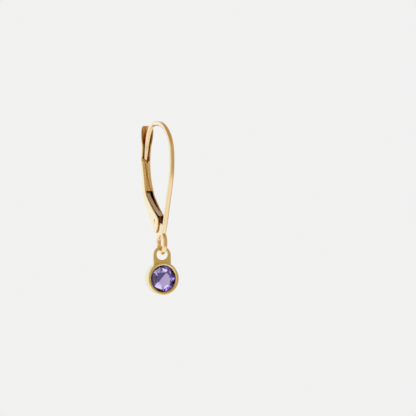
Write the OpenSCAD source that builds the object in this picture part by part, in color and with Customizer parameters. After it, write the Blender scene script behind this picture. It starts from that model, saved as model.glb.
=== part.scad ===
// Drop earring on a hinged lever back, with a round tanzanite in a bezel.
// +Z is up and the stone faces -Y. The origin is the underside of the wire's top arch, where it sits in the ear.

/* [Ear wire] */
// Diameter of the round wire
wire_d = 0.62; // [0.58:0.01:0.66]
// Diameter of the wire at its free tip
tip_d = 0.50; // [0.44:0.01:0.54]
// Length over which the wire narrows to its tip
tip_taper = 1.4; // [1.2:0.1:2.0]

/* [Hinge block and ring] */
// Thickness of the flat plate that the hinge block is cut from
plate_w = 0.68; // [0.62:0.01:0.70]
// Height of the ring's foot below the origin
ring_bottom = 16.13; // [16.05:0.01:16.15]
// Width of the ring from front to back
ring_w = 2.74; // [2.68:0.01:2.78]
// Height of the gap left where the ring was closed on the bail
ring_cut = 0.07; // [0.05:0.01:0.08]
// Radius of the hinge pin
pin_r = 0.20; // [0.16:0.01:0.22]
// Clearance between the pin and the block's bore
pin_clear = 0.025; // [0.02:0.005:0.04]

/* [Lever] */
// Thickness of the lever's sheet
sheet_t = 0.16; // [0.14:0.01:0.17]
// Height of the sheet's crimped edges where they meet over the front, top end below the origin
crimp_top = 4.62; // [4.55:0.01:4.70]
// The same edges, lower end below the origin
crimp_end = 8.12; // [8.00:0.01:8.20]
// Width of the seam between the crimped edges
seam_w = 0.04; // [0.03:0.01:0.06]
// Height below the origin where the lever's back wall ends and leaves two cheeks
web_end = 11.25; // [11.15:0.01:11.35]

/* [Leaf spring] */
// Thickness of the spring strip
spring_t = 0.12; // [0.10:0.01:0.12]
// Width of the spring strip
spring_w = 0.48; // [0.44:0.01:0.50]

/* [Bezel and bail] */
// Outer radius of the bezel cup at its front
bezel_r = 2.05; // [2.02:0.01:2.08]
// Outer radius of the cup at its back
bezel_back_r = 1.86; // [1.82:0.01:1.92]
// Depth of the cup from front to back
bezel_depth = 1.80; // [1.76:0.01:1.84]
// Height of the cup's centre below the origin
bezel_drop_z = 19.06; // [19.02:0.01:19.10]
// Thickness of the flat bail loop
bail_t = 0.38; // [0.34:0.01:0.39]
// Outer width of the bail loop
bail_w = 2.36; // [2.30:0.01:2.40]
// Width of the hole in the bail
bail_hole_w = 1.45; // [1.42:0.01:1.50]
// Height of the hole in the bail
bail_hole_h = 1.33; // [1.33:0.01:1.36]

/* [Stone] */
// Diameter of the round brilliant at its girdle
stone_d = 3.5; // [3.46:0.01:3.52]
// Table width as a share of the diameter
table_share = 0.49; // [0.48:0.01:0.52]
// Height of the crown above the girdle
crown_h = 0.41; // [0.38:0.01:0.44]
// Depth of the pavilion below the girdle
pavilion_h = 0.94; // [0.92:0.01:0.96]
// Slope of the pavilion's outer facets, in degrees
pavilion_angle = 42; // [40:1:44]

/* [Hidden] */

wire_r = wire_d / 2;
tip_r = tip_d / 2;
wire_sides = 16;
bend_step = 8;

// The wire's bends, from the middle of the arch: [straight run before the bend, bend radius, turn in degrees]
FRONT_BENDS = [
    [0.25, 5.2, 45],
    [0.0, 3.4, 35],
    [0.0, 8.0, 30],
    [4.6, 12.0, 8]];
BACK_BENDS = [
    [0.72, 2.7, -60],
    [0.0, 6.0, -15]];
arch_y = -0.1;
front_leg = 0.4;
back_leg = 1.8;

// The hinge axis runs along X through this point.
hinge_y = -0.3;
hinge_z = -11.9;
cam_r = 0.72;
cam_top_r = 0.34;
cam_top_y = -0.35;
cam_top_z = -11.34;
block_bottom = -13.45;

// Side view of the block under the cam, as [y, z]
BLOCK_OUTLINE = [
    [-2.70, -12.36],
    [-1.55, -12.00],
    [-0.98, -11.60],
    [-0.66, -11.20],
    [-0.02, -11.25],
    [0.42, -11.55],
    [0.40, -12.30],
    [-0.78, block_bottom],
    [-2.14, block_bottom]];

ring_y = -1.62;
// Height of the ring's top, inside the block
ring_top = -13.11;
ring_cut_z = -14.80;
ring_cut_depth = 0.21;

// The lever at a few heights: [z, half width, front, back, share of the half width that its back corners round]
LEVER_ROWS = [
    [0.06, 0.50, 3.26, 3.52, 1.00],
    [-0.10, 0.71, 3.27, 3.58, 1.00],
    [-0.45, 0.81, 3.30, 3.74, 1.00],
    [-1.10, 0.82, 3.34, 3.88, 1.00],
    [-1.80, 0.75, 3.42, 3.99, 0.95],
    [-2.50, 0.63, 3.50, 4.12, 0.90],
    [-3.20, 0.60, 3.62, 4.27, 0.85],
    [-3.90, 0.61, 3.76, 4.46, 0.80],
    [-4.40, 0.60, 3.78, 4.54, 0.70],
    [-4.80, 0.55, 3.66, 4.49, 0.60],
    [-5.50, 0.53, 3.50, 4.37, 0.55],
    [-6.30, 0.52, 3.30, 4.28, 0.50],
    [-7.20, 0.54, 3.00, 4.08, 0.45],
    [-8.00, 0.58, 2.66, 3.76, 0.38],
    [-8.70, 0.59, 2.24, 3.40, 0.30],
    [-9.30, 0.59, 1.58, 3.04, 0.25],
    [-9.90, 0.58, 0.84, 2.61, 0.22],
    [-10.50, 0.56, 0.02, 2.07, 0.20],
    [-11.10, 0.55, -0.88, 1.65, 0.18],
    [-11.60, 0.55, -1.55, 1.33, 0.16],
    [-12.10, 0.55, -1.64, 0.93, 0.14],
    [-12.60, 0.55, -1.50, 0.47, 0.12],
    [-13.05, 0.55, -1.24, -0.14, 0.10],
    [-13.36, 0.55, -0.90, -0.50, 0.08]];
Z = 0;
HALF = 1;
FRONT = 2;
BACK = 3;
ROUND = 4;
// Spacing of the sections over the tab, along the crimped edges and down the open channel
tab_step = 0.5;
crimp_step = 0.32;
channel_step = 0.42;
// Sections close together below the tab's rounded top edge
TOP_STEPS = [0, 0.06, 0.16, 0.3];
corner_steps = 5;
corner_min = 0.03;
flat_min = 0.02;
lip_min = 0.02;
// The back wall's thickness as a share of the sides'
web_share = 1.1;
// Half of the space between the cheeks
cheek_in = 0.40;
pin_fit = 0.01;
// Length of a cutter that goes right through
through = 4;

// Middle line of the leaf spring in side view, as [y, z]
SPRING_LINE = [
    [3.99, -5.60],
    [3.79, -6.60],
    [3.34, -7.60],
    [2.94, -8.20],
    [2.50, -8.80],
    [1.77, -9.40],
    [0.92, -9.98],
    [-0.24, -10.60],
    [-1.12, -10.98],
    [-1.44, -11.25]];
spring_steps = 4;
// The spring lies a little to the left of the channel's middle
spring_x = -0.07;

bezel_back = -0.55;
bezel_z = -bezel_drop_z;
stone_r = stone_d / 2;
girdle_h = 0.08;
girdle_from_front = 0.54;
stone_gap = 0.04;
// Turn of the facets in the cup, in degrees
stone_turn = 27;
// Radius at which the flatter facets round the culet begin, as a share of the stone's
low_share = 0.69;
// The rim is flat outside rim_in_r and slopes in behind it to the lip over the stone
rim_in_r = 1.80;
lip_r = 1.60;
lip_from_front = 0.30;
// Extra room over the crown under the lip, and under the pavilion over the ledge
lip_under = 0.02;
ledge_gap = 0.03;
tube_r = 1.60;
rim_bevel = 0.08;
// Height of the girdle's middle above the cup's back
girdle_at = bezel_depth - girdle_from_front;
pavilion_slope = tan(pavilion_angle);
crown_slope = crown_h / (stone_r * (1 - table_share));

bail_y = -1.70;
bail_top = -15.0;
bail_bar = 0.40;
bail_r = bail_w / 2;
bail_hole_r = 0.66;
bail_root_r = 1.80;
// Where the bail's sides sweep out on to the cup: [distance outside the side, share of the cup's radius above its centre]
BAIL_FLARE = [
    [0.00, 0.93],
    [0.04, 0.82],
    [0.14, 0.73]];
bail_foot_share = 0.68;
flare_in = 0.1;

// One bend after another: each point is [y, z, heading]
function bends(rows, p, a, i = 0) =
    i == len(rows) ? [] :
    let (row = rows[i], s = sign(row[2]), n = ceil(abs(row[2]) / bend_step),
         q = p + row[0] * [cos(a), sin(a)],
         c = q + row[1] * s * [-sin(a), cos(a)],
         arc = [for (k = [(row[0] > 0 ? 0 : 1):n]) let (b = a + row[2] * k / n)
                concat(c + row[1] * s * [sin(b), -cos(b)], [b])],
         last = arc[len(arc) - 1])
    concat(arc, bends(rows, [last[0], last[1]], last[2], i + 1));

function backwards(list) = [for (i = [len(list) - 1:-1:0]) list[i]];

function straight_on(path, run) =
    let (last = path[len(path) - 1])
    [last[0] + run * cos(last[2]), last[1] + run * sin(last[2]), last[2]];

// A smooth curve through rows of numbers
function smooth_at(rows, i, t) =
    let (n = len(rows) - 1, a = rows[max(i - 1, 0)], b = rows[i], c = rows[min(i + 1, n)], d = rows[min(i + 2, n)])
    0.5 * (2 * b + (c - a) * t + (2 * a - 5 * b + 4 * c - d) * t * t + (3 * b - a - 3 * c + d) * t * t * t);

function smooth(rows, steps) = concat(
    [for (i = [0:len(rows) - 2]) for (k = [0:steps - 1]) smooth_at(rows, i, k / steps)],
    [rows[len(rows) - 1]]);

// Side walls between rings of points that all have the same count
function ring_walls(rings, n) = [
    for (i = [0:rings - 2]) for (j = [0:n - 1]) let (k = (j + 1) % n) each [
        [i * n + j, i * n + k, (i + 1) * n + k],
        [i * n + j, (i + 1) * n + k, (i + 1) * n + j]]];

// Draws in side view, as [y, z], and gives it a width along X
module side_view(w) {
    rotate([90, 0, 90]) linear_extrude(w, center = true) children();
}

// Draws in front view, as [x, z], and gives it a depth along Y
module front_view(depth) {
    rotate([90, 0, 0]) linear_extrude(depth, center = true) children();
}

module along_x(y, z) {
    translate([0, y, z]) rotate([0, 90, 0]) children();
}

module round_wire() {
    back_path = bends(BACK_BENDS, [arch_y, wire_r], 0);
    front_path = bends(FRONT_BENDS, [arch_y, wire_r], 180);
    turned = [for (p = backwards(back_path)) [p[0], p[1], p[2] + 180]];
    tip = straight_on(back_path, back_leg);
    taper_start = straight_on(back_path, back_leg - tip_taper);
    foot = straight_on(front_path, front_leg);
    // The free end is rounded in three rings: [distance back from the very tip, share of the tip's radius]
    end_rings = [[0, 0.45], [0.05, 0.8], [0.14, 1.0]];
    end = [for (e = end_rings) let (p = straight_on(back_path, back_leg - e[0]))
        [p[0], p[1], p[2] + 180, tip_r * e[1]]];
    path = concat(
        end,
        [[taper_start[0], taper_start[1], taper_start[2] + 180, wire_r]],
        [for (p = turned) concat(p, [wire_r])],
        [[arch_y, wire_r, 180, wire_r]],
        [for (p = front_path) concat(p, [wire_r])],
        [concat(foot, [wire_r])]);
    points = [for (p = path) for (j = [0:wire_sides - 1])
        let (a = 360 * (j + 0.5) / wire_sides, off = p[3] * sin(a))
        [p[3] * cos(a), p[0] - off * sin(p[2]), p[1] + off * cos(p[2])]];
    n = len(path);
    polyhedron(points, concat(
        ring_walls(n, wire_sides),
        [[for (j = [wire_sides - 1:-1:0]) j]],
        [[for (j = [0:wire_sides - 1]) (n - 1) * wire_sides + j]]), convexity = 8);
}

module hinge_block() {
    side_view(plate_w) difference() {
        union() {
            polygon(BLOCK_OUTLINE);
            translate([hinge_y, hinge_z]) circle(cam_r, $fn = 96);
            translate([cam_top_y, cam_top_z]) circle(cam_top_r, $fn = 96);
        }
        translate([hinge_y, hinge_z]) circle(pin_r + pin_clear, $fn = 96);
    }
}

// The ring under the block is round wire in a tall loop: two half circles with short straights between them
module ring() {
    bend_r = ring_w / 2 - wire_r;
    high_z = ring_top - ring_w / 2;
    low_z = -ring_bottom + ring_w / 2;
    difference() {
        union() {
            for (half = [[high_z, 90], [low_z, -90]])
                along_x(ring_y, half[0]) rotate(half[1])
                    rotate_extrude(angle = 180, $fn = 96) translate([bend_r, 0]) circle(wire_r, $fn = 48);
            for (s = [-1, 1]) translate([0, ring_y + s * bend_r, low_z])
                cylinder(r = wire_r, h = high_z - low_z, $fn = 48);
        }
        translate([-wire_r, ring_y + bend_r, ring_cut_z]) cube([2 * ring_cut_depth, 2 * wire_d, ring_cut], center = true);
    }
}

module ear_wire() {
    color("#e6c485") {
        round_wire();
        hinge_block();
        ring();
    }
}

module hinge_rivet() {
    head_r = 0.32;
    head_h = 0.12;
    head_at = 0.56;
    color("#dcb877") along_x(hinge_y, hinge_z) {
        cylinder(r = pin_r, h = 2 * head_at, center = true, $fn = 96);
        for (s = [0, 180]) rotate([s, 0, 0]) translate([0, 0, head_at])
            cylinder(r1 = head_r, r2 = head_r - head_h, h = head_h, $fn = 96);
    }
}

// Half of the lever's section, from its left front edge round the back to its right front edge
function half_round(h, front, back, share) =
    let (cx = min(max(share * h, corner_min), h - flat_min), cy = min(cx, back - front - flat_min / 2))
    concat(
        [for (k = [0:corner_steps]) let (a = 90 * k / corner_steps) [-h + cx - cx * cos(a), back - cy + cy * sin(a)]],
        [for (k = [corner_steps:-1:0]) let (a = 90 * k / corner_steps) [h - cx + cx * cos(a), back - cy + cy * sin(a)]]);

function is_crimped(z) = z <= -crimp_top && z >= -crimp_end;
// The seam wanders down the front from left to right
function seam_x(z) = -0.14 + 0.09 * (-crimp_top - z) + 0.05 * sin(300 * z);

function lever_section(row) =
    let (z = row[Z], h = row[HALF], f = row[FRONT], b = row[BACK], in_h = h - sheet_t,
         folded = is_crimped(z), fold_t = folded ? sheet_t : lip_min,
         left = folded ? seam_x(z) - seam_w / 2 : -in_h + lip_min,
         right = folded ? seam_x(z) + seam_w / 2 : in_h - lip_min,
         inner = half_round(in_h, f + fold_t, b - sheet_t * web_share, (row[ROUND] * h - sheet_t) / in_h),
         flat = concat([[-h, f]], half_round(h, f, b, row[ROUND]), [[h, f], [right, f], [right, f + fold_t],
            [in_h, f + fold_t]], backwards(inner), [[-in_h, f + fold_t], [left, f + fold_t], [left, f]]))
    [for (p = flat) [p[0], p[1], z]];

// Heights between two others, both left out, no further apart than the step
function levels(from, to, step) =
    let (n = ceil((from - to) / step)) [for (k = [1:n - 1]) from + (to - from) * k / n];

function lever_row(z) =
    let (rows = smooth(LEVER_ROWS, 6))
    [for (c = [Z:ROUND]) c == Z ? z : lookup(z, [for (r = rows) [r[Z], r[c]]])];

module lever() {
    top = LEVER_ROWS[0][Z];
    foot = LEVER_ROWS[len(LEVER_ROWS) - 1][Z];
    edge = 0.02;
    tab_start = top - TOP_STEPS[len(TOP_STEPS) - 1];
    heights = concat(
        [for (s = TOP_STEPS) top - s],
        levels(tab_start, -crimp_top + edge, tab_step),
        [-crimp_top + edge, -crimp_top],
        levels(-crimp_top, -crimp_end, crimp_step),
        [-crimp_end, -crimp_end - edge],
        levels(-crimp_end - edge, foot, channel_step),
        [foot]);
    sections = [for (z = heights) lever_section(lever_row(z))];
    n = len(sections[0]);
    last = (len(sections) - 1) * n;
    // The end caps run round the section as a strip between its outer and inner lines
    arc_n = 2 * corner_steps + 2;
    inner_1 = n - 4;
    cap = concat(
        [[0, 1, inner_1, inner_1 + 1], [0, inner_1 + 1, inner_1 + 2, inner_1 + 3]],
        [for (k = [1:arc_n - 1]) [k, k + 1, inner_1 - k, inner_1 + 1 - k]],
        [[arc_n, arc_n + 1, arc_n + 4, arc_n + 5], [arc_n + 1, arc_n + 2, arc_n + 3, arc_n + 4]]);
    color("#e9cf97") difference() {
        polyhedron([for (s = sections) for (p = s) p], concat(
            [for (w = ring_walls(len(sections), n)) backwards(w)],
            cap,
            [for (q = cap) [for (j = backwards(q)) last + j]]), convexity = 10);
        // Below its back wall the lever is two cheeks, open to the back
        translate([-cheek_in, hinge_y - cam_r, -web_end - through]) cube([2 * cheek_in, through, through]);
        along_x(hinge_y, hinge_z) cylinder(r = pin_r + pin_fit, h = through, center = true, $fn = 96);
    }
}

module leaf_spring() {
    line = smooth(SPRING_LINE, spring_steps);
    n = len(line);
    across = [for (i = [0:n - 1])
        let (d = line[min(i + 1, n - 1)] - line[max(i - 1, 0)]) [-d[1], d[0]] / norm(d) * spring_t / 2];
    color("#9a9080") translate([spring_x, 0, 0]) side_view(spring_w) polygon(concat(
        [for (i = [0:n - 1]) line[i] + across[i]],
        [for (i = [n - 1:-1:0]) line[i] - across[i]]));
}

// The cup's wall as [radius, height above its back]
module bezel_cup() {
    girdle_top = girdle_at + girdle_h / 2;
    girdle_low = girdle_at - girdle_h / 2;
    pocket_r = stone_r + stone_gap;
    translate([0, bezel_back, bezel_z]) rotate([90, 0, 0]) rotate_extrude($fn = 96) polygon([
        [tube_r, 0],
        [bezel_back_r - rim_bevel, 0],
        [bezel_back_r, rim_bevel],
        [bezel_r, bezel_depth - rim_bevel],
        [bezel_r - rim_bevel, bezel_depth],
        [rim_in_r, bezel_depth],
        [lip_r, bezel_depth - lip_from_front],
        [lip_r, girdle_top + stone_gap + (stone_r - lip_r) * crown_slope + lip_under],
        [pocket_r, girdle_top + stone_gap],
        [pocket_r, girdle_low - stone_gap],
        [tube_r, girdle_low - stone_gap - (pocket_r - tube_r) * pavilion_slope - ledge_gap]]);
}

module bail_loop() {
    eye_z = bail_top - bail_r;
    foot_z = bezel_z + bezel_r * bail_foot_share;
    hole_top = bail_top - bail_bar;
    translate([0, bail_y, 0]) front_view(bail_t) difference() {
        union() {
            translate([0, eye_z]) circle(bail_r, $fn = 96);
            translate([-bail_r, foot_z]) square([bail_w, eye_z - foot_z]);
            for (s = [-1, 1]) polygon(concat(
                [[s * (bail_r - flare_in), bezel_z + bezel_r * BAIL_FLARE[0][1]]],
                [for (p = BAIL_FLARE) [s * (bail_r + p[0]), bezel_z + bezel_r * p[1]]],
                [[s * (bail_r - flare_in), foot_z]]));
        }
        for (s = [-1, 1]) for (z = [hole_top - bail_hole_r, hole_top - bail_hole_h + bail_hole_r])
            translate([s * (bail_hole_w / 2 - bail_hole_r), z]) circle(bail_hole_r, $fn = 96);
        square_w = bail_hole_w - 2 * bail_hole_r;
        translate([-square_w / 2, hole_top - bail_hole_h]) square([square_w, bail_hole_h]);
        translate([0, bezel_z]) circle(bail_root_r, $fn = 96);
    }
}

module bezel_drop() {
    color("#c9a25c") {
        bezel_cup();
        bail_loop();
    }
}

// A round brilliant, eight times round, with a pavilion that is flatter round the culet
module tanzanite() {
    table_r = stone_r * table_share;
    star_r = 0.5 * (table_r * cos(22.5) + stone_r);
    low_r = low_share * stone_r;
    top_z = girdle_h / 2 + crown_h;
    low_z = -girdle_h / 2 - (stone_r - low_r * cos(22.5)) * pavilion_slope;
    culet_z = -girdle_h / 2 - pavilion_h;
    function on_ring(count, r, z, turn) = [for (k = [0:count - 1])
        let (a = 360 * k / count + turn + stone_turn) [r * cos(a), r * sin(a), z]];
    points = concat(
        on_ring(8, table_r, top_z, 0),
        on_ring(8, star_r, top_z - (star_r * cos(22.5) - table_r) * crown_slope, 22.5),
        on_ring(16, stone_r, girdle_h / 2, 0),
        on_ring(16, stone_r, -girdle_h / 2, 0),
        on_ring(8, low_r, low_z, 22.5),
        [[0, 0, culet_z]]);
    star = 8;
    upper = 16;
    lower = 32;
    low = 48;
    culet = 56;
    faces = concat(
        [[for (k = [7:-1:0]) k]],
        [for (k = [0:7]) let (m = (k + 1) % 8) each [
            [k, m, star + k],
            [k, star + k, upper + 2 * k, star + (k + 7) % 8],
            [star + k, upper + 2 * k + 1, upper + 2 * k],
            [star + k, upper + 2 * m, upper + 2 * k + 1],
            [low + k, lower + 2 * k, lower + 2 * k + 1],
            [low + k, lower + 2 * k + 1, lower + 2 * m],
            [low + (k + 7) % 8, lower + 2 * k, low + k],
            [culet, low + (k + 7) % 8, low + k]]],
        [for (j = [0:15]) let (k = (j + 1) % 16) [upper + j, upper + k, lower + k, lower + j]]);
    color("#8f7ac8") translate([0, bezel_back - girdle_at, bezel_z]) rotate([90, 0, 0])
        polyhedron(points, faces, convexity = 2);
}

ear_wire();
hinge_rivet();
lever();
leaf_spring();
bezel_drop();
tanzanite();
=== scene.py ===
import math

import bmesh
import bpy
import numpy as np
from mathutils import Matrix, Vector
from mathutils.geometry import delaunay_2d_cdt, tessellate_polygon


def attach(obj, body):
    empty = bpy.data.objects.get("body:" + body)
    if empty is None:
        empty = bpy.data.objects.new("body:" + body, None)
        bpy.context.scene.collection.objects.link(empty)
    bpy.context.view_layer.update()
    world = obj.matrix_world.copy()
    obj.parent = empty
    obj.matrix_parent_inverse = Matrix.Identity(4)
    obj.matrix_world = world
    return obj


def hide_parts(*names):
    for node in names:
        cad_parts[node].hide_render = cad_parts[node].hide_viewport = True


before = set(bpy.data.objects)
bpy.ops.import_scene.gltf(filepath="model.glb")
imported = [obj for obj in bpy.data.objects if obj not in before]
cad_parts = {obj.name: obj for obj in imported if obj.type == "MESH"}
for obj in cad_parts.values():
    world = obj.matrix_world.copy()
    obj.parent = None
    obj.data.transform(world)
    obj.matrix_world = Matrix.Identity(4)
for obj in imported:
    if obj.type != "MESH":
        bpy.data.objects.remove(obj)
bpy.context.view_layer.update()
scene = bpy.context.scene

# Ear wire
# A drawn round wire of yellow gold, bent into a tall hook that passes through the ear. Its front leg is
# soldered into the hinge block, its free end is filed thinner and rounded off, and all of it is polished.
MM = 0.001
WIRE_R = 0.31
TIP_R = 0.25
TIP_TAPER = 1.4
TIP_ROUND = 0.14
ARCH_Y = -0.1
# Each bend from the middle of the arch: a straight run, then a radius and a turn in degrees
FRONT_BENDS = [(0.25, 5.2, 45), (0.0, 3.4, 35), (0.0, 8.0, 30), (4.6, 12.0, 8)]
BACK_BENDS = [(0.72, 2.7, -60), (0.0, 6.0, -15)]
FRONT_LEG = 0.4
BACK_LEG = 1.8
WIRE_SIDES = 48
# The hook's rings stand this far apart along a straight run in mm, and round a bend in degrees
RUN_STEP = 0.1
TURN_STEP = 2
# The rings of the rounded end stand this far from the tip, and the end is this much of a full dome
TIP_RINGS = (0.0, 0.01, 0.03, 0.06)
TIP_DOME = 0.96


def hook_side(bends, heading, leg):
    """Points (y, z, heading) from the middle of the arch down one side of the hook."""
    path = [(ARCH_Y, WIRE_R, heading)]
    for run, radius, turn in [*bends, (leg, 0.0, 0.0)]:
        straight = math.ceil(run / RUN_STEP)
        curved = math.ceil(abs(turn) / TURN_STEP)
        steps = [(run / max(straight, 1), 0.0)] * straight
        if curved:
            chord = 2 * radius * math.sin(math.radians(abs(turn) / curved / 2))
            steps += [(chord, turn / curved)] * curved
        for length, bend in steps:
            y, z, heading = path[-1]
            middle = math.radians(heading + bend / 2)
            path.append((y + length * math.cos(middle), z + length * math.sin(middle), heading + bend))
    return path


def wire_radius(from_tip):
    """The wire is at its tip radius past the rounded end, and eases to its full radius."""
    if from_tip < TIP_ROUND:
        return TIP_R * math.sqrt(1 - (1 - from_tip / TIP_ROUND) ** 2 * TIP_DOME)
    share = min((from_tip - TIP_ROUND) / TIP_TAPER, 1.0)
    return TIP_R + (WIRE_R - TIP_R) * share * share * (3 - 2 * share)


def loft(rings, closed=False):
    """A mesh in mm through rings of points, all of one count, with flat ends or closed on itself."""
    bm = bmesh.new()
    rows = [[bm.verts.new(p) for p in ring] for ring in rings]
    for low, high in zip(rows, rows[1:] + rows[:1] if closed else rows[1:]):
        for a, b, c, d in zip(low, low[1:] + low[:1], high[1:] + high[:1], high):
            bm.faces.new((a, b, c, d))
    if not closed:
        bm.faces.new(rows[0][::-1])
        bm.faces.new(rows[-1])
    return bm


def finished(name, bm, body, sharp=40):
    """Turns a mesh in mm into a piece in metres that rides on its body. It is smooth apart from the edges
    that turn by more than sharp degrees."""
    bmesh.ops.recalc_face_normals(bm, faces=bm.faces)
    for face in bm.faces:
        face.smooth = True
    for edge in bm.edges:
        edge.smooth = len(edge.link_faces) == 2 and edge.calc_face_angle() < math.radians(sharp)
    bmesh.ops.scale(bm, vec=(MM, MM, MM), verts=bm.verts)
    mesh = bpy.data.meshes.new(name)
    bm.to_mesh(mesh)
    bm.free()
    piece = bpy.data.objects.new(name, mesh)
    scene.collection.objects.link(piece)
    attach(piece, body)
    return piece


tip_side = hook_side(BACK_BENDS, 0.0, BACK_LEG)
tip_y, tip_z, tip_heading = tip_side[-1]
rounded_end = []
for distance in TIP_RINGS:
    along = math.radians(tip_heading)
    rounded_end.append((tip_y - distance * math.cos(along), tip_z - distance * math.sin(along), tip_heading))
back_half = rounded_end + tip_side[-2:0:-1]
hook = [(y, z, heading + 180) for y, z, heading in back_half] + hook_side(FRONT_BENDS, 180.0, FRONT_LEG)
wire_rings = []
from_tip = 0.0
for before, (y, z, heading) in zip(hook[:1] + hook, hook):
    from_tip += math.dist(before[:2], (y, z))
    radius = wire_radius(from_tip)
    tilt = math.radians(heading)
    ring = []
    for k in range(WIRE_SIDES):
        a = 2 * math.pi * k / WIRE_SIDES
        out = radius * math.sin(a)
        ring.append((radius * math.cos(a), y - out * math.sin(tilt), z + out * math.cos(tilt)))
    wire_rings.append(ring)
ear_wire = finished("ear_wire_hook", loft(wire_rings), "wire")
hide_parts("ear_wire")


def node(tree, kind, inputs=None, **settings):
    """Adds a shader node, with its settings and the values of its inputs."""
    made = tree.nodes.new(kind)
    for name, value in settings.items():
        setattr(made, name, value)
    for name, value in (inputs or {}).items():
        made.inputs[name].default_value = value
    return made


def marks_group():
    """Fine marks that a polishing wheel or brush leaves, longer along Z, and a slow haze. Sizes are in mm."""
    group = bpy.data.node_groups.new("tool_marks", "ShaderNodeTree")
    for name, value in (("Marks Per mm", 10.0), ("Length", 1.0), ("Haze Per mm", 0.8)):
        socket = group.interface.new_socket(name, in_out="INPUT", socket_type="NodeSocketFloat")
        socket.default_value = value
    for name in ("Height", "Haze"):
        group.interface.new_socket(name, in_out="OUTPUT", socket_type="NodeSocketFloat")
    given = node(group, "NodeGroupInput")
    result = node(group, "NodeGroupOutput")
    place = node(group, "ShaderNodeTexCoord")
    in_mm = node(group, "ShaderNodeVectorMath", {"Scale": 1 / MM}, operation="SCALE")
    split = node(group, "ShaderNodeSeparateXYZ")
    shorter = node(group, "ShaderNodeMath", operation="DIVIDE")
    joined = node(group, "ShaderNodeCombineXYZ")
    marks = node(group, "ShaderNodeTexNoise", {"Detail": 3.0, "Roughness": 0.6})
    haze = node(group, "ShaderNodeTexNoise", {"Detail": 2.0})
    links = group.links
    links.new(place.outputs["Object"], in_mm.inputs[0])
    links.new(in_mm.outputs["Vector"], split.inputs[0])
    links.new(split.outputs["X"], joined.inputs["X"])
    links.new(split.outputs["Y"], joined.inputs["Y"])
    links.new(split.outputs["Z"], shorter.inputs[0])
    links.new(given.outputs["Length"], shorter.inputs[1])
    links.new(shorter.outputs[0], joined.inputs["Z"])
    links.new(joined.outputs[0], marks.inputs["Vector"])
    links.new(given.outputs["Marks Per mm"], marks.inputs["Scale"])
    links.new(in_mm.outputs["Vector"], haze.inputs["Vector"])
    links.new(given.outputs["Haze Per mm"], haze.inputs["Scale"])
    links.new(marks.outputs["Fac"], result.inputs["Height"])
    links.new(haze.outputs["Fac"], result.inputs["Haze"])
    return group


TOOL_MARKS = marks_group()
# The gloss changes over this range of the haze
HAZE_RANGE = (0.3, 0.7)
MARKS_STRENGTH = 0.6


def metal(name, light, deep, rough, marks, depth, inside=None):
    """A metal whose colour and gloss drift a little over the surface. rough is (least, most) and
    marks is (marks per mm, length of a mark, haze per mm). depth is the marks' depth in mm.
    inside is a darker colour painted on as shade, on the places that the mesh's attribute of that
    name marks, such as recesses and gaps between parts."""
    made = bpy.data.materials.new(name)
    made.use_nodes = True
    tree = made.node_tree
    shader = tree.nodes["Principled BSDF"]
    shader.inputs["Metallic"].default_value = 1.0
    surface = node(tree, "ShaderNodeGroup", node_tree=TOOL_MARKS)
    for socket, value in zip(surface.inputs, marks):
        socket.default_value = value
    tint = node(tree, "ShaderNodeMix", data_type="RGBA")
    tint.inputs["A"].default_value = (*light, 1.0)
    tint.inputs["B"].default_value = (*deep, 1.0)
    gloss = node(tree, "ShaderNodeMapRange", {"From Min": HAZE_RANGE[0], "From Max": HAZE_RANGE[1]})
    gloss.inputs["To Min"].default_value = rough[0]
    gloss.inputs["To Max"].default_value = rough[1]
    bump = node(tree, "ShaderNodeBump", {"Strength": MARKS_STRENGTH, "Distance": depth * MM})
    tree.links.new(surface.outputs["Haze"], tint.inputs["Factor"])
    tree.links.new(tint.outputs["Result"], shader.inputs["Base Color"])
    if inside:
        reach = node(tree, "ShaderNodeAttribute", attribute_name="inside")
        darker = node(tree, "ShaderNodeMix", data_type="RGBA")
        darker.inputs["B"].default_value = (*inside, 1.0)
        tree.links.new(reach.outputs["Fac"], darker.inputs["Factor"])
        tree.links.new(tint.outputs["Result"], darker.inputs["A"])
        tree.links.new(darker.outputs["Result"], shader.inputs["Base Color"])
    tree.links.new(surface.outputs["Haze"], gloss.inputs["Value"])
    tree.links.new(gloss.outputs["Result"], shader.inputs["Roughness"])
    tree.links.new(surface.outputs["Height"], bump.inputs["Height"])
    tree.links.new(bump.outputs["Normal"], shader.inputs["Normal"])
    return made


polished_gold = metal(
    "polished_gold",
    light=(0.94, 0.68, 0.34),
    deep=(0.91, 0.64, 0.30),
    rough=(0.12, 0.20),
    marks=(9.0, 2.0, 0.8),
    depth=0.0004,
    # inside: painted shade, a darker colour for the block's top between the lever's cheeks
    inside=(0.22, 0.08, 0.03),
)
ear_wire.data.materials.append(polished_gold)

# Hinge block
# The block that the lever turns on: gold plate, sawn and filed to shape, and soldered to the back of the
# wire's leg. Its edges are eased and polished.
PLATE_W = 0.68
PLATE_EDGE = 0.07
HINGE = (-0.3, -11.9)
BLOCK_BOTTOM = -13.45
# The leaf spring presses on a cam of this radius round the hinge, with a smaller round on its top, given as
# y, z and radius
CAM_R = 0.72
CAM_TOP = (-0.35, -11.34, 0.34)
# Above this height the block stands between the lever's sides, and its gold is painted darker there as shade
BLOCK_SHADE_Z = -12.08
BLOCK_OUTLINE = [
    (-2.70, -12.36), (-2.14, BLOCK_BOTTOM), (-0.78, BLOCK_BOTTOM), (0.40, -12.30),
    (0.42, -11.55), (-0.02, -11.25), (-0.66, -11.20), (-0.98, -11.60), (-1.55, -12.00),
]
DISC_SIDES = 96
# Degrees from row to row round a plate's edge
EDGE_STEP = 18


def disc(u, v, radius):
    """A round outline."""
    turns = [2 * math.pi * k / DISC_SIDES for k in range(DISC_SIDES)]
    return [(u + radius * math.cos(a), v + radius * math.sin(a)) for a in turns]


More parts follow.
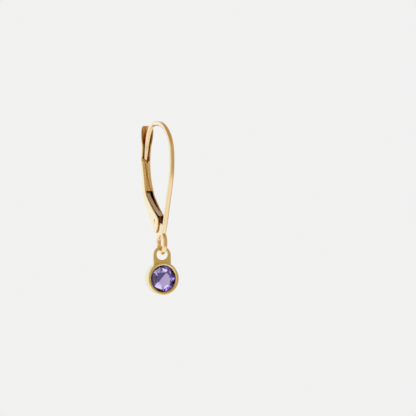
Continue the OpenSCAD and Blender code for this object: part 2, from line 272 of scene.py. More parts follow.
def outline_of(added, cut):
    """The loops of points round the added outlines less the cut ones."""
    corners = []
    faces = []
    for shape in added + cut:
        faces.append(list(range(len(corners), len(corners) + len(shape))))
        corners += [Vector(p) for p in shape]
    points, _, triangles, _, _, owners = delaunay_2d_cdt(corners, [], faces, 1, 1e-6)
    sides = set()
    for triangle, inside in zip(triangles, owners):
        if all(k < len(added) for k in inside):
            sides.update(zip(triangle, triangle[1:] + triangle[:1]))
    onward = {a: b for a, b in sides if (b, a) not in sides}
    loops = []
    while onward:
        start, here = onward.popitem()
        loop = [start]
        while here != start:
            loop.append(here)
            here = onward.pop(here)
        loops.append([points[k] for k in loop])
    return loops


def eased(loop, spacing, passes):
    """The loop at an even spacing, with its corners eased as a file and buff leave them."""
    closed = [*loop, loop[0]]
    run = np.cumsum([0.0] + [(b - a).length for a, b in zip(closed, closed[1:])])
    at = np.linspace(0, run[-1], int(run[-1] / spacing), endpoint=False)
    points = np.stack([np.interp(at, run, [p[axis] for p in closed]) for axis in (0, 1)], axis=1)
    for _ in range(passes):
        points = points / 2 + (np.roll(points, 1, 0) + np.roll(points, -1, 0)) / 4
    return points


def plate(loops, thickness, edge, place):
    """A flat plate between loops, its edges rounded to a radius. place turns (u, v, height) into a point."""
    bm = bmesh.new()
    ends = {-1: [], 1: []}
    for loop in loops:
        ahead = np.roll(loop, -1, 0) - np.roll(loop, 1, 0)
        inward = np.stack([-ahead[:, 1], ahead[:, 0]], axis=1) / np.linalg.norm(ahead, axis=1)[:, None]
        rows = []
        for side in (-1, 1):
            for a in range(-90, 1, EDGE_STEP) if side < 0 else range(0, 91, EDGE_STEP):
                inset = edge * (1 - math.cos(math.radians(a)))
                height = side * (thickness / 2 - edge) + edge * math.sin(math.radians(a))
                rows.append([bm.verts.new(place(u, v, height)) for u, v in loop + inward * inset])
        for low, high in zip(rows, rows[1:]):
            for a, b, c, d in zip(low, low[1:] + low[:1], high[1:] + high[:1], high):
                bm.faces.new((a, b, c, d))
        ends[-1].append((loop + inward * edge, rows[0]))
        ends[1].append((loop + inward * edge, rows[-1]))
    for rims in ends.values():
        rim_verts = [v for _, row in rims for v in row]
        flat = [[Vector((u, v, 0)) for u, v in points] for points, _ in rims]
        for triangle in tessellate_polygon(flat):
            bm.faces.new([rim_verts[k] for k in triangle])
    return bm


block_loops = outline_of([BLOCK_OUTLINE, disc(*HINGE, CAM_R), disc(*CAM_TOP)], [])
block_lines = [eased(loop, spacing=0.02, passes=6) for loop in block_loops]
block_mesh = plate(block_lines, PLATE_W, PLATE_EDGE, lambda y, z, x: (x, y, z))
hinge_block = finished("hinge_block", block_mesh, "wire")
# The block's top between the cheeks gets painted shade, through the inside attribute
painted_shade = hinge_block.data.attributes.new("inside", "FLOAT", "POINT")
for vert in hinge_block.data.vertices:
    painted_shade.data[vert.index].value = float(vert.co.z / MM > BLOCK_SHADE_Z)
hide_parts("ear_wire")
hinge_block.data.materials.append(polished_gold)

# Ring
# The ring that carries the drop: the same round wire, bent to a tall loop and soldered under the block. It
# was closed on the bail, and a small gap is left where its ends meet, at the left of its back limb.
RING_Y = -1.62
RING_BEND = 1.06
RING_HIGH = -14.48
RING_LOW = -14.76
GAP_Z = -14.80
GAP_H = 0.07
GAP_DEPTH = 0.21
RING_STEPS = 64
ring_rings = []
for k in range(2 * RING_STEPS):
    a = math.pi * (k + 0.5) / RING_STEPS
    middle = RING_HIGH if k < RING_STEPS else RING_LOW
    ring = []
    for j in range(WIRE_SIDES):
        b = 2 * math.pi * j / WIRE_SIDES
        out = RING_BEND + WIRE_R * math.cos(b)
        ring.append((WIRE_R * math.sin(b), RING_Y + out * math.cos(a), middle + out * math.sin(a)))
    ring_rings.append(ring)
ring_mesh = loft(ring_rings, closed=True)
bmesh.ops.recalc_face_normals(ring_mesh, faces=ring_mesh.faces)


def applied(bm, *modifiers):
    """The mesh after modifiers, each a type and its settings. A Boolean's object is given as a mesh."""
    made = bpy.data.objects.new("raw", bpy.data.meshes.new("raw"))
    bm.to_mesh(made.data)
    bm.free()
    scene.collection.objects.link(made)
    spare = [made]
    for kind, settings in modifiers:
        modifier = made.modifiers.new(kind.lower(), kind)
        for name, value in settings.items():
            if name == "object":
                cutter = bpy.data.objects.new("cutter", bpy.data.meshes.new("cutter"))
                value.to_mesh(cutter.data)
                value.free()
                scene.collection.objects.link(cutter)
                spare.append(cutter)
                value = cutter
            setattr(modifier, name, value)
    shaped = bpy.data.meshes.new_from_object(made.evaluated_get(bpy.context.evaluated_depsgraph_get()))
    result = bmesh.new()
    result.from_mesh(shaped)
    bpy.data.meshes.remove(shaped)
    for thing in spare:
        bpy.data.objects.remove(thing)
    return result


def box_mesh(low, high):
    """A box between two opposite corners."""
    bm = bmesh.new()
    bmesh.ops.create_cube(bm, size=1.0)
    for vert in bm.verts:
        vert.co = [b if c > 0 else a for a, b, c in zip(low, high, vert.co)]
    return bm


back_limb = RING_Y + RING_BEND
gap_low = (-1.0, back_limb - 2 * WIRE_R, GAP_Z - GAP_H / 2)
gap_high = (GAP_DEPTH - WIRE_R, back_limb + 2 * WIRE_R, GAP_Z + GAP_H / 2)
gap_cut = {"operation": "DIFFERENCE", "solver": "EXACT", "object": box_mesh(gap_low, gap_high)}
ring_mesh = applied(ring_mesh, ("BOOLEAN", gap_cut))
drop_ring = finished("drop_ring", ring_mesh, "wire")
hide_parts("ear_wire")
drop_ring.data.materials.append(polished_gold)

# Lever
# Thin gold sheet folded into a channel. Its top opens into a spoon-shaped tab for the finger, its edges are
# crimped together over the front below the catch, and it ends in two cheeks on either side of the block.
SHEET = 0.16
BACK_SHEET = SHEET * 1.1
CRIMP_TOP = -4.62
CRIMP_END = -8.12
SEAM_W = 0.04
# Radii of the fold into the crimped front, of the sheet's bare edge and of the folded edge at the seam
FOLD_R = 0.09
EDGE_R = 0.08
SEAM_R = 0.07
# Between the cheeks the channel's back is cut away from here down. The cut's box reaches this far back from
# the hinge, and down
WEB_END = -11.25
WEB_CUT = (3.3, 4.0)
CHEEK_IN = 0.40
# Height, half width, front, back, and the share of the half width that the back corners round
LEVER_ROWS = [
    (0.06, 0.50, 3.26, 3.52, 1.00),
    (-0.10, 0.71, 3.27, 3.58, 1.00),
    (-0.45, 0.81, 3.30, 3.74, 1.00),
    (-1.10, 0.82, 3.34, 3.88, 1.00),
    (-1.80, 0.75, 3.42, 3.99, 0.95),
    (-2.50, 0.63, 3.50, 4.12, 0.90),
    (-3.20, 0.60, 3.62, 4.27, 0.85),
    (-3.90, 0.61, 3.76, 4.46, 0.80),
    (-4.40, 0.60, 3.78, 4.54, 0.70),
    (-4.80, 0.55, 3.66, 4.49, 0.60),
    (-5.50, 0.53, 3.50, 4.37, 0.55),
    (-6.30, 0.52, 3.30, 4.28, 0.50),
    (-7.20, 0.54, 3.00, 4.08, 0.45),
    (-8.00, 0.58, 2.66, 3.76, 0.38),
    (-8.70, 0.59, 2.24, 3.40, 0.30),
    (-9.30, 0.59, 1.58, 3.04, 0.25),
    (-9.90, 0.58, 0.84, 2.61, 0.22),
    (-10.50, 0.56, 0.02, 2.07, 0.20),
    (-11.10, 0.55, -0.88, 1.65, 0.18),
    (-11.60, 0.55, -1.55, 1.33, 0.16),
    (-12.10, 0.55, -1.64, 0.93, 0.14),
    (-12.60, 0.55, -1.50, 0.47, 0.12),
    (-13.05, 0.55, -1.24, -0.14, 0.10),
    (-13.36, 0.55, -0.90, -0.50, 0.08),
]


def smooth_rows(rows, steps):
    """A smooth curve through rows of numbers."""
    rows = [np.array(row, float) for row in rows]
    line = []
    for a, b, c, d in zip(rows[:1] + rows, rows, rows[1:], rows[2:] + rows[-1:]):
        for t in np.linspace(0, 1, steps, endpoint=False):
            bend = (2 * a - 5 * b + 4 * c - d) * t * t + (3 * b - a - 3 * c + d) * t ** 3
            line.append(0.5 * (2 * b + (c - a) * t + bend))
    return np.array([*line, rows[-1]])


lever_curve = smooth_rows(LEVER_ROWS, 12)[::-1]
BACK_STEPS = 10
LIP_STEPS = 9
# Where the channel is open its edges get a lip too small to see, so that all sections have like points
BARE_LIP = 0.01
BARE_DEPTH = 0.02
# The seam's and the crease's place at the crimp's top and their lean, and how far the seam wanders, turning
# this many degrees to the mm
SEAM_X = -0.14
SEAM_LEAN = 0.09
SEAM_WANDER = 0.05
SEAM_TURN = 300
CREASE_X = 0.10
CREASE_LEAN = -0.10
CREASE_W = 0.05
CREASE_DEPTH = 0.045


def seam_x(z):
    """The seam between the crimped edges wanders from left to right down the front."""
    return SEAM_X + SEAM_LEAN * (CRIMP_TOP - z) + SEAM_WANDER * math.sin(math.radians(SEAM_TURN * z))


def crease_x(z):
    """The crease that the crimping tool left crosses the seam from right to left."""
    return CREASE_X + CREASE_LEAN * (CRIMP_TOP - z)


def crimp_marks(x, z):
    """How far the crimping tool pressed the front in at a point: the crease, and dimples."""
    crease = CREASE_DEPTH * math.exp(-((x - crease_x(z)) / CREASE_W) ** 2)
    dimples = 0.020 * math.sin(5.2 * z + 8.0 * x) + 0.018 * math.sin(8.3 * z - 14.0 * x)
    return crease + dimples


def back_arc(half, back, wide, deep):
    """The back of the section from left to right, with its corners rounded."""
    turns = [math.radians(90 * k / BACK_STEPS) for k in range(BACK_STEPS + 1)]
    left = [(-half + wide - wide * math.cos(a), back - deep + deep * math.sin(a)) for a in turns]
    return left + [(-x, y) for x, y in reversed(left)]


def corner(before, here, after, radius, steps=4):
    """An arc in place of a square corner."""
    back = Vector(before) - Vector(here)
    on = Vector(after) - Vector(here)
    reach = min(radius, 0.49 * back.length, 0.49 * on.length)
    start = Vector(here) + back.normalized() * reach
    end = Vector(here) + on.normalized() * reach
    arc = []
    for k in range(steps + 1):
        t = k / steps
        weights = ((1 - t) ** 2, math.sqrt(2) * t * (1 - t), t * t)
        arc.append(tuple((start * weights[0] + Vector(here) * weights[1] + end * weights[2]) / sum(weights)))
    return arc


def lever_section(z):
    """The outline of the folded sheet at a height: from the left edge round the back to the right one,
    and back along the channel's inside."""
    half, front, back, share = [np.interp(z, lever_curve[:, 0], lever_curve[:, k]) for k in range(1, 5)]
    inner = half - SHEET
    folded = CRIMP_END <= z <= CRIMP_TOP
    depth = SHEET if folded else BARE_DEPTH
    reach = {-1: -inner + BARE_LIP, 1: inner - BARE_LIP}
    if folded:
        reach = {-1: seam_x(z) - SEAM_W / 2, 1: seam_x(z) + SEAM_W / 2}
    # The back's corners, outside and inside, kept clear of each other and of the front
    wide = min(max(share * half, 0.05), half - 0.02)
    deep = min(wide, back - front - 0.10)
    inner_back = back - BACK_SHEET
    inner_wide = min(max(share * half - SHEET, 0.03), inner - 0.02)
    inner_deep = min(inner_wide, inner_back - front - depth - 0.01)
    lips = {}
    for side in (-1, 1):
        edge = [(side * half, back), (side * half, front), (reach[side], front)]
        lip = corner(*edge, FOLD_R if folded else EDGE_R)
        fold_end = lip[-1][0]
        for k in range(1, LIP_STEPS):
            x = fold_end + (reach[side] - fold_end) * k / LIP_STEPS
            lip.append((x, front + (crimp_marks(x, z) if folded else 0.0)))
        last = (reach[side], front + (crimp_marks(reach[side], z) if folded else 0.0))
        lip += corner(lip[-1], last, (reach[side], front + depth), SEAM_R if folded else BARE_LIP / 2)
        lip += [(reach[side], front + depth), (side * inner, front + depth)]
        lips[side] = lip
    outer_back = back_arc(half, back, wide, deep)
    inner_line = back_arc(inner, inner_back, inner_wide, inner_deep)
    outline = lips[-1][::-1] + outer_back + lips[1] + inner_line[::-1]
    return [(x, y, z) for x, y in outline]


# The heights of the sections, with a small step where the folded edges begin and end
SECTION_EDGE = 0.02
levels = [0.06, 0.03, -0.02]
levels += list(np.arange(-0.1, CRIMP_TOP + SECTION_EDGE + 0.05, -0.1))
levels += [CRIMP_TOP + SECTION_EDGE]
levels += list(np.linspace(CRIMP_TOP, CRIMP_END, 60))
levels += [CRIMP_END - SECTION_EDGE]
levels += list(np.linspace(CRIMP_END - 0.1, LEVER_ROWS[-1][0], 56))
lever_mesh = loft([lever_section(z) for z in levels])


def bead(bm, at, radii):
    """A small ball, which may be flatter or longer one way."""
    made = bmesh.ops.create_icosphere(bm, subdivisions=4, radius=1.0)["verts"]
    bmesh.ops.scale(bm, vec=radii, verts=made)
    bmesh.ops.translate(bm, vec=at, verts=made)


# The catch that the wire's tip clicks behind is three small beads raised from the folded edges
CATCH = [
    ((-0.42, 3.77, -4.47), (0.16, 0.10, 0.16)),
    ((-0.04, 3.79, -4.53), (0.12, 0.09, 0.14)),
    ((0.42, 3.77, -4.49), (0.15, 0.10, 0.17)),
]
bmesh.ops.recalc_face_normals(lever_mesh, faces=lever_mesh.faces)
catch_mesh = bmesh.new()
for at, radii in CATCH:
    bead(catch_mesh, at, radii)
catch_join = {"operation": "UNION", "solver": "EXACT", "object": catch_mesh}
lever_mesh = applied(lever_mesh, ("BOOLEAN", catch_join))
web_low = (-CHEEK_IN, HINGE[0] - CAM_R, WEB_END - WEB_CUT[1])
web_high = (CHEEK_IN, HINGE[0] + WEB_CUT[0], WEB_END)
web_cut = {"operation": "DIFFERENCE", "solver": "EXACT", "object": box_mesh(web_low, web_high)}
lever_mesh = applied(lever_mesh, ("BOOLEAN", web_cut))
lever = finished("lever", lever_mesh, "lever", sharp=35)
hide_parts("lever")
# Painted shade on the lever: the channel's inside, the sheet's bare edges, the seam and the crease are
# painted darker where shade falls. The inside is dark in full, and these are the others' shares. The tab's
# trough is lighter from TROUGH_TOP down, where the wire's tip throws light into it
TROUGH_TOP = -2.2
TROUGH_DARK = 0.5
TAB_EDGE_DARK = 0.8
CHEEK_EDGE_DARK = 0.75
CHANNEL_EDGE_DARK = 0.6
SEAM_DARK = 0.8
SEAM_SPREAD = 0.08
CREASE_DARK = 0.7
CREASE_SPREAD = 0.07


def painted_shade_share(x, y, z):
    """How much painted shade a point of the lever gets, from 0 to 1."""
    half, front, back = [np.interp(z, lever_curve[:, 0], lever_curve[:, k]) for k in (1, 2, 3)]
    folded = CRIMP_END <= z <= CRIMP_TOP
    # The tab and the cheeks, which show the sheet's bare edge
    bare_edged = z > CRIMP_TOP + 0.4 or z < WEB_END - 0.1
    within = abs(x) < half - (0.15 if bare_edged else 0.6) * SHEET and y < back - 0.6 * SHEET
    dark = float(within and y > front + (0.8 * SHEET if folded else -0.01 if bare_edged else 0.01))
    if bare_edged and y < front + 0.01:
        dark *= CHEEK_EDGE_DARK if z < WEB_END else TAB_EDGE_DARK
    if CRIMP_TOP < z < TROUGH_TOP:
        dark *= TROUGH_DARK
    if z < CRIMP_END and not bare_edged and -half + 0.4 * SHEET < x < 0 and y < front + 0.01:
        dark = CHANNEL_EDGE_DARK
    if folded and not dark and y < front + 0.5 * SHEET:
        seam = math.exp(-((x - seam_x(z)) / SEAM_SPREAD) ** 2)
        crease = math.exp(-((x - crease_x(z)) / CREASE_SPREAD) ** 2)
        dark = SEAM_DARK * seam + CREASE_DARK * crease
    return min(dark, 1.0)


painted_shade = lever.data.attributes.new("inside", "FLOAT", "POINT")
for vert in lever.data.vertices:
    painted_shade.data[vert.index].value = painted_shade_share(*(vert.co / MM))
stamped_gold = metal(
    "stamped_gold",
    light=(0.95, 0.70, 0.34),
    deep=(0.91, 0.66, 0.30),
    rough=(0.14, 0.24),
    marks=(6.0, 2.5, 1.2),
    depth=0.001,
    # inside: painted shade, a darker colour for the channel's inside, bare edges, seam and crease
    inside=(0.60, 0.32, 0.09),
)
lever.data.materials.append(stamped_gold)

# Leaf spring
# A thin strip of ground spring steel that lies in the channel. Its top end is held by the crimped edges,
# and its free end presses on the block's cam, so that the lever snaps shut. Its corners are rounded.
SPRING_T = 0.12
SPRING_HALF = 0.24
SPRING_X = -0.07
SPRING_LINE = [
    (3.99, -5.60), (3.79, -6.60), (3.34, -7.60), (2.94, -8.20), (2.50, -8.80),
    (1.77, -9.40), (0.92, -9.98), (-0.24, -10.60), (-1.12, -10.98), (-1.44, -11.25),
]
# Radii of the strip's corners and of its edges, and the least half width that its ends come down to
SPRING_CORNER = 0.18
SPRING_EDGE = 0.035
SPRING_END = 0.02
spring_line = smooth_rows(SPRING_LINE, 16)
spring_ahead = np.gradient(spring_line, axis=0)
spring_across = np.stack([-spring_ahead[:, 1], spring_ahead[:, 0]], axis=1)
spring_across /= np.linalg.norm(spring_ahead, axis=1)[:, None]
spring_run = np.cumsum(np.linalg.norm(np.diff(spring_line, axis=0, prepend=spring_line[:1]), axis=1))
spring_rings = []
for middle, across, run in zip(spring_line, spring_across, spring_run):
    to_end = min(run, spring_run[-1] - run)
    cut_in = max(SPRING_CORNER - to_end, 0.0)
    half = SPRING_HALF - SPRING_CORNER + math.sqrt(max(SPRING_CORNER ** 2 - cut_in ** 2, SPRING_END ** 2))
    square = [(-half, -SPRING_T / 2), (half, -SPRING_T / 2), (half, SPRING_T / 2), (-half, SPRING_T / 2)]
    ring = []
    for before, here, after in zip(square[-1:] + square, square, square[1:] + square[:1]):
        for x, out in corner(before, here, after, SPRING_EDGE, steps=3):
            ring.append((SPRING_X + x, middle[0] + across[0] * out, middle[1] + across[1] * out))
    spring_rings.append(ring)
leaf_spring = finished("leaf_spring", loft(spring_rings), "lever")
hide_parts("leaf_spring")
spring_steel = metal(
    "spring_steel",
    light=(0.80, 0.73, 0.60),
    deep=(0.62, 0.55, 0.43),
    rough=(0.28, 0.40),
    marks=(16.0, 8.0, 1.5),
    depth=0.001,
)
leaf_spring.data.materials.append(spring_steel)

# Hinge rivet
# A gold pin through both cheeks and the block, which the lever turns on. Its ends are hammered over into
# low domes outside the cheeks, so that it can't come out, and polished.
PIN_R = 0.20
PIN_SIDES = 48
HEAD_R = 0.32
HEAD_AT = 0.555
HEAD_H = 0.12
DOME_STEPS = 8


def turned(profile, sides, place):
    """Turns a profile of (distance along the axis, radius) into a mesh. place turns (u, v, along) into
    a point."""
    rings = []
    for along, radius in profile:
        turns = [2 * math.pi * k / sides for k in range(sides)]
        rings.append([place(radius * math.cos(a), radius * math.sin(a), along) for a in turns])
    return loft(rings)


dome = []
for k in range(DOME_STEPS + 1):
    a = math.radians(90 * k / DOME_STEPS)
    dome.append((HEAD_AT + HEAD_H * math.sin(a), max(HEAD_R * math.cos(a), 0.01)))
half_pin = [(HEAD_AT, PIN_R), *dome]
pin_profile = [(-along, radius) for along, radius in reversed(half_pin)] + half_pin
pin_mesh = turned(pin_profile, PIN_SIDES, lambda u, v, along: (along, HINGE[0] + u, HINGE[1] + v))
hinge_rivet = finished("hinge_rivet", pin_mesh, "lever")
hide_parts("hinge_rivet")
hinge_rivet.data.materials.append(polished_gold)

# Bezel and bail
# A short gold cup that the stone is set in, with its rim burnished over the stone, and on top of it a flat
# loop that hangs in the ring. The two are one casting, finished satin with a fine brush.
BEZEL_R = 2.05
BEZEL_BACK_R = 1.86
BEZEL_BACK = -0.55
BEZEL_DEPTH = 1.80
BEZEL_Z = -19.06
LIP_R = 1.60
POCKET_R = 1.79
TUBE_R = 1.60
BAIL_Y = -1.70
BAIL_T = 0.38
BAIL_EDGE = 0.16
BAIL_R = 1.18
BAIL_TOP = -15.0
BAIL_BAR = 0.40
BAIL_HOLE_W = 1.45
BAIL_HOLE_H = 1.33
BAIL_HOLE_R = 0.66
BAIL_ROOT_R = 1.80
# The loop is this much thinner at its outer edge, where the brush wears it most
BAIL_WEAR = 0.6
GIRDLE_FROM_FRONT = 0.54
GIRDLE_AT = BEZEL_DEPTH - GIRDLE_FROM_FRONT
WALL_SIDES = 160
# The cup's wall as (radius, height above its back). Its side bellies a little and its front edge is rounded
WALL = [
    (TUBE_R, 0.0), (BEZEL_BACK_R - 0.04, 0.0), (BEZEL_BACK_R, 0.05), (1.925, 0.5), (1.99, 1.0),
    (2.04, 1.42), (BEZEL_R, 1.58), (2.04, 1.67), (2.0, 1.74), (1.93, 1.785), (1.84, BEZEL_DEPTH),
    (1.74, 1.77), (1.66, 1.69), (LIP_R, BEZEL_DEPTH - 0.26), (LIP_R, GIRDLE_AT + 0.184),
    (POCKET_R, GIRDLE_AT + 0.08), (POCKET_R, GIRDLE_AT - 0.08), (TUBE_R, GIRDLE_AT - 0.23),
]
wall_line = eased([Vector(p) for p in WALL], spacing=0.025, passes=4)
bezel_mesh = bmesh.new()
turns = [2 * math.pi * k / WALL_SIDES for k in range(WALL_SIDES)]
rows = []
for a in turns:
    row = []
    for radius, height in wall_line:
        at = (radius * math.cos(a), BEZEL_BACK - height, BEZEL_Z + radius * math.sin(a))
        row.append(bezel_mesh.verts.new(at))
    rows.append(row)
for low, high in zip(rows, rows[1:] + rows[:1]):
    for a, b, c, d in zip(low, low[1:] + low[:1], high[1:] + high[:1], high):
        bezel_mesh.faces.new((a, b, c, d))


def slab(left, low, right, high):
    """A rectangular outline."""
    return [(left, low), (right, low), (right, high), (left, high)]


eye_z = BAIL_TOP - BAIL_R
foot_z = BEZEL_Z + BEZEL_R * 0.68
# The bail's foot spreads a little as it runs into the cup
flare = [
    (BAIL_R + 0.14, BEZEL_Z + BEZEL_R * 0.73), (BAIL_R + 0.04, BEZEL_Z + BEZEL_R * 0.82),
    (BAIL_R, BEZEL_Z + BEZEL_R * 0.93),
]
bail_body = [(-BAIL_R + 0.1, foot_z), (BAIL_R - 0.1, foot_z), *flare, (BAIL_R, eye_z)]
bail_body += [(-x, z) for x, z in reversed(bail_body[2:])]
hole_half = BAIL_HOLE_W / 2
hole_top = BAIL_TOP - BAIL_BAR
hole_low = hole_top - BAIL_HOLE_H
holes = [slab(-hole_half + BAIL_HOLE_R, hole_low, hole_half - BAIL_HOLE_R, hole_top)]
holes += [slab(-hole_half, hole_low + BAIL_HOLE_R, hole_half, hole_top - BAIL_HOLE_R)]
for x in (-hole_half + BAIL_HOLE_R, hole_half - BAIL_HOLE_R):
    for z in (hole_low + BAIL_HOLE_R, hole_top - BAIL_HOLE_R):
        holes.append(disc(x, z, BAIL_HOLE_R))
bail_loops = outline_of([bail_body, disc(0, eye_z, BAIL_R)], holes + [disc(0, BEZEL_Z, BAIL_ROOT_R)])
bail_lines = [eased(loop, spacing=0.03, passes=4) for loop in bail_loops]
bail_mesh = plate(bail_lines, BAIL_T, BAIL_EDGE, lambda x, z, y: (x, BAIL_Y - y, z))
joined = bpy.data.meshes.new("bail")
bail_mesh.to_mesh(joined)
bail_mesh.free()
bezel_mesh.from_mesh(joined)
bpy.data.meshes.remove(joined)
bmesh.ops.recalc_face_normals(bezel_mesh, faces=bezel_mesh.faces)
# The remesh joins the cup and the bail into one skin, and the smoothing rounds the corner between them
bezel_mesh = applied(
    bezel_mesh,
    ("REMESH", {"mode": "VOXEL", "voxel_size": 0.032}),
    ("SMOOTH", {"factor": 0.5, "iterations": 4}),
)
for vert in bezel_mesh.verts:
    out = math.hypot(vert.co.x, max(vert.co.z - eye_z, 0.0)) / BAIL_R
    clear_of_cup = min(max((vert.co.z - BEZEL_Z - BEZEL_R) / 0.5, 0.0), 1.0)
    vert.co.y = BAIL_Y + (vert.co.y - BAIL_Y) * (1 - BAIL_WEAR * clear_of_cup * min(out, 1.0) ** 3)
bezel_drop = finished("bezel_drop", bezel_mesh, "drop", sharp=80)
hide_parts("bezel_drop")
satin_gold = metal(
    "satin_gold",
    light=(0.91, 0.69, 0.28),
    deep=(0.86, 0.63, 0.24),
    rough=(0.24, 0.34),
    marks=(9.0, 2.0, 1.0),
    depth=0.0015,
)
# The gold seen through the stone is painted darker, as painted shade for the cup's inside where little light
# reaches
satin_tree = satin_gold.node_tree
satin_shader = satin_tree.nodes["Principled BSDF"]
satin_colour = satin_shader.inputs["Base Color"].links[0].from_socket
rays = node(satin_tree, "ShaderNodeLightPath")
shade_under_stone = node(satin_tree, "ShaderNodeMix", data_type="RGBA")
shade_under_stone.inputs["B"].default_value = (0.30, 0.27, 0.16, 1.0)
satin_tree.links.new(rays.outputs["Is Transmission Ray"], shade_under_stone.inputs["Factor"])
satin_tree.links.new(satin_colour, shade_under_stone.inputs["A"])
satin_tree.links.new(shade_under_stone.outputs["Result"], satin_shader.inputs["Base Color"])
bezel_drop.data.materials.append(satin_gold)

# Tanzanite
# A round brilliant of violet-blue tanzanite, cut shallow and flatter round its culet, so that its middle
# looks through to the back. It sits in the cup's pocket under the burnished rim, all its facets polished.
STONE_R = 1.75
TABLE_SHARE = 0.49
TABLE_R = STONE_R * TABLE_SHARE
CROWN_H = 0.41
GIRDLE_H = 0.08
PAVILION_SLOPE = 42.0
LOW_R = 1.11
GIRDLE_Y = BEZEL_BACK - GIRDLE_AT
STONE_TURN = 27.0
STONE_SIDES = 64
BLANK_BACK = -1.5
stone_front = GIRDLE_H / 2 + CROWN_H
crown_slope = math.degrees(math.atan(CROWN_H / (STONE_R - TABLE_R)))
low_depth = GIRDLE_H / 2 + (STONE_R - LOW_R) * math.tan(math.radians(PAVILION_SLOPE))
# Each row of facets: the count, the turn and slope in degrees, and a radius and height that they pass through
CROWN_FACETS = [
    (8, 0.0, crown_slope, STONE_R, GIRDLE_H / 2),
    (16, 11.25, crown_slope + 6.8, STONE_R, GIRDLE_H / 2),
    (8, 22.5, crown_slope - 12.2, TABLE_R * math.cos(math.radians(22.5)), stone_front),
]
PAVILION_FACETS = [
    (8, 0.0, PAVILION_SLOPE, STONE_R, GIRDLE_H / 2),
    (16, 11.25, PAVILION_SLOPE + 2.7, STONE_R, GIRDLE_H / 2),
    (8, 0.0, 17.9, LOW_R, low_depth),
]
stone_blank = [(BLANK_BACK, STONE_R), (stone_front, STONE_R)]


def on_stone(u, v, height):
    """Height runs from the girdle's middle towards the front."""
    return (u, GIRDLE_Y - height, BEZEL_Z + v)


def cut_facets(bm, rows, side):
    """Cuts rows of facets on the front (side 1) or the back (side -1) of the stone."""
    for count, turn, slope, radius, height in rows:
        for k in range(count):
            a = math.radians(360 * k / count + turn + STONE_TURN)
            lean = math.radians(slope)
            point = on_stone(radius * math.cos(a), radius * math.sin(a), side * height)
            away = (math.sin(lean) * math.cos(a), -side * math.cos(lean), math.sin(lean) * math.sin(a))
            whole = bm.verts[:] + bm.edges[:] + bm.faces[:]
            plane = {"dist": 1e-5, "plane_co": point, "plane_no": away}
            made = bmesh.ops.bisect_plane(bm, geom=whole, clear_outer=True, **plane)
            edges = [part for part in made["geom_cut"] if isinstance(part, bmesh.types.BMEdge)]
            open_edges = [edge for edge in edges if len(edge.link_faces) == 1]
            if len(open_edges) > 2:
                bmesh.ops.contextual_create(bm, geom=open_edges)


stone_mesh = turned(stone_blank, STONE_SIDES, on_stone)
bmesh.ops.recalc_face_normals(stone_mesh, faces=stone_mesh.faces)
cut_facets(stone_mesh, CROWN_FACETS, 1)
cut_facets(stone_mesh, PAVILION_FACETS, -1)
tanzanite = finished("tanzanite", stone_mesh, "drop", sharp=0)
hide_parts("tanzanite")
stone = bpy.data.materials.new("tanzanite_stone")
stone.use_nodes = True
stone_tree = stone.node_tree
stone_shader = stone_tree.nodes["Principled BSDF"]
stone_shader.inputs["Base Color"].default_value = (0.97, 0.95, 1.0, 1.0)
stone_shader.inputs["Roughness"].default_value = 0.0
stone_shader.inputs["IOR"].default_value = 1.69
stone_shader.inputs["Transmission Weight"].default_value = 1.0
body_colour = node(stone_tree, "ShaderNodeVolumeAbsorption")
body_colour.inputs["Color"].default_value = (0.41, 0.08, 0.925, 1.0)
body_colour.inputs["Density"].default_value = 400.0
stone_tree.links.new(body_colour.outputs["Volume"], stone_tree.nodes["Material Output"].inputs["Volume"])
tanzanite.data.materials.append(stone)

# Floor
# A plain pale floor, well below the earring, which hangs. It fades out towards its edge, and neither the
# gold nor the stone shows it.
FLOOR_Z = -60.0
FLOOR_R = 120.0
FADE_FROM = 0.3 * FLOOR_R
floor_mesh = bmesh.new()
bmesh.ops.create_circle(floor_mesh, cap_ends=True, segments=96, radius=FLOOR_R * MM)
floor = bpy.data.objects.new("floor", bpy.data.meshes.new("floor"))
floor_mesh.to_mesh(floor.data)
floor_mesh.free()
floor.location = (0, 0, FLOOR_Z * MM)
scene.collection.objects.link(floor)
floor.visible_glossy = False
floor.visible_transmission = False
floor_paint = bpy.data.materials.new("pale_floor")
floor_paint.use_nodes = True
floor_tree = floor_paint.node_tree
floor_shader = floor_tree.nodes["Principled BSDF"]
floor_shader.inputs["Base Color"].default_value = (0.80, 0.80, 0.79, 1.0)
floor_shader.inputs["Roughness"].default_value = 0.9
floor_place = node(floor_tree, "ShaderNodeTexCoord")
from_middle = node(floor_tree, "ShaderNodeVectorMath", operation="LENGTH")
fade = node(floor_tree, "ShaderNodeMapRange", {"To Min": 1.0, "To Max": 0.0})
fade.inputs["From Min"].default_value = FADE_FROM * MM
fade.inputs["From Max"].default_value = FLOOR_R * MM
floor_tree.links.new(floor_place.outputs["Object"], from_middle.inputs[0])
floor_tree.links.new(from_middle.outputs["Value"], fade.inputs["Value"])
floor_tree.links.new(fade.outputs["Result"], floor_shader.inputs["Alpha"])
floor.data.materials.append(floor_paint)

# Studio
# A pale backdrop, and soft light from all round: a bright wall behind on the left, a bright table below, a
# paler left and a softer front, and a dim warm ceiling and room. Through the stone there is a dark room,
# with the bright patches that its facets catch.
BACKDROP = (0.885, 0.885, 0.88, 1.0)
WALL_LIGHT = (0.98, 1.19, 1.68, 1.0)
LEFT = (0.86, 0.88, 0.92, 1.0)
CEILING = (0.50, 0.38, 0.27, 1.0)
TABLE = (1.02, 1.12, 1.42, 1.0)
ROOM = (0.62, 0.52, 0.36, 1.0)
FRONT = (0.50, 0.47, 0.39, 1.0)
STONE_ROOM = (0.11, 0.10, 0.20, 1.0)
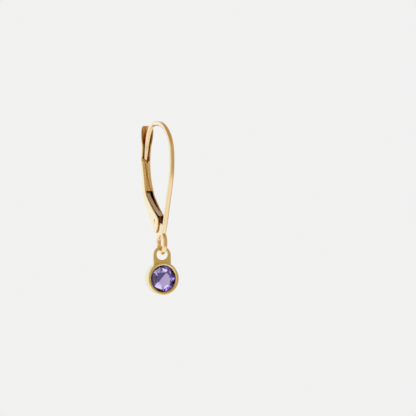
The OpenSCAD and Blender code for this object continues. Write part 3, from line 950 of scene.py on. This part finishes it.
# Patches of the room that show in the stone: a direction, where the patch begins and is full, its brightness
STONE_PATCHES = [
    ((-0.60, -0.75, 0.0), 0.80, 0.97, 0.60),
    ((0.25, 0.95, 0.10), 0.943, 0.965, 0.62),
    ((0.57, 0.57, 0.57), 0.93, 0.98, 1.20),
    ((0.22, 0.80, -0.55), 0.975, 0.995, 1.15),
    ((0.80, 0.27, -0.53), 0.95, 0.99, 1.30),
    ((0.0, -0.97, -0.25), 0.96, 0.995, 1.70),
    ((-0.94, -0.24, 0.24), 0.95, 0.99, 1.80),
    ((0.0, 0.83, 0.55), 0.96, 0.99, 1.00),
]
PATCH_BLUE = 1.04
world = bpy.data.worlds.new("studio")
scene.world = world
world.use_nodes = True
sky = world.node_tree
towards = node(sky, "ShaderNodeTexCoord").outputs["Generated"]


def facing(direction, least, most):
    """0 up to the least cosine between a ray and a direction, rising smoothly to 1 at the most."""
    dot = node(sky, "ShaderNodeVectorMath", operation="DOT_PRODUCT")
    dot.inputs[1].default_value = Vector(direction).normalized()
    share = node(sky, "ShaderNodeMapRange", interpolation_type="SMOOTHSTEP")
    share.inputs["From Min"].default_value = least
    share.inputs["From Max"].default_value = most
    sky.links.new(towards, dot.inputs[0])
    sky.links.new(dot.outputs["Value"], share.inputs["Value"])
    return share.outputs["Result"]


def blended(share, first, second):
    """Mixes two colours, each a fixed colour or another output."""
    mix = node(sky, "ShaderNodeMix", data_type="RGBA")
    sky.links.new(share, mix.inputs["Factor"])
    for name, value in (("A", first), ("B", second)):
        if isinstance(value, tuple):
            mix.inputs[name].default_value = value
        else:
            sky.links.new(value, mix.inputs[name])
    return mix.outputs["Result"]


ray = node(sky, "ShaderNodeLightPath")
around = blended(facing((0.37, -0.93, 0.0), 0.70, 0.97), ROOM, FRONT)
around = blended(facing((-0.93, 0.10, 0.0), 0.45, 0.98), around, LEFT)
around = blended(facing((0.0, 0.0, 1.0), 0.42, 0.85), around, CEILING)
around = blended(facing((0.0, 0.0, -1.0), 0.20, 0.65), around, TABLE)
around = blended(facing((-0.54, 0.84, -0.10), 0.40, 0.90), around, WALL_LIGHT)
through_stone = STONE_ROOM
for direction, least, most, bright in STONE_PATCHES:
    patch = (bright, bright, PATCH_BLUE * bright, 1.0)
    through_stone = blended(facing(direction, least, most), through_stone, patch)
around = blended(ray.outputs["Is Transmission Ray"], around, through_stone)
around = blended(ray.outputs["Is Camera Ray"], around, BACKDROP)
sky.links.new(around, sky.nodes["Background"].inputs["Color"])

# Camera
# A long lens, level with the earring and 22 degrees round to its left, as in the photograph. A pixel is
# 0.125 mm, and the earring's origin lies at the pixel where the photograph shows the ear's seat.
AZIMUTH = math.radians(-22)
PIXEL = 0.125
FRAME_PIXELS = 416
SEAT_PIXEL = (157, 126)
DISTANCE = 600.0
SENSOR = 36.0
right_way = Vector((math.cos(AZIMUTH), math.sin(AZIMUTH), 0))
back_way = Vector((math.sin(AZIMUTH), -math.cos(AZIMUTH), 0))
aim = right_way * (FRAME_PIXELS / 2 - SEAT_PIXEL[0]) * PIXEL
aim += Vector((0, 0, SEAT_PIXEL[1] - FRAME_PIXELS / 2)) * PIXEL
lens = bpy.data.cameras.new("camera")
lens.sensor_width = SENSOR
lens.lens = SENSOR * DISTANCE / (FRAME_PIXELS * PIXEL)
lens.clip_end = 10.0
camera = bpy.data.objects.new("camera", lens)
camera.location = (aim + back_way * DISTANCE) * MM
camera.rotation_euler = back_way.to_track_quat("Z", "Y").to_euler()
scene.collection.objects.link(camera)
scene.camera = camera
scene.view_settings.view_transform = "Standard"
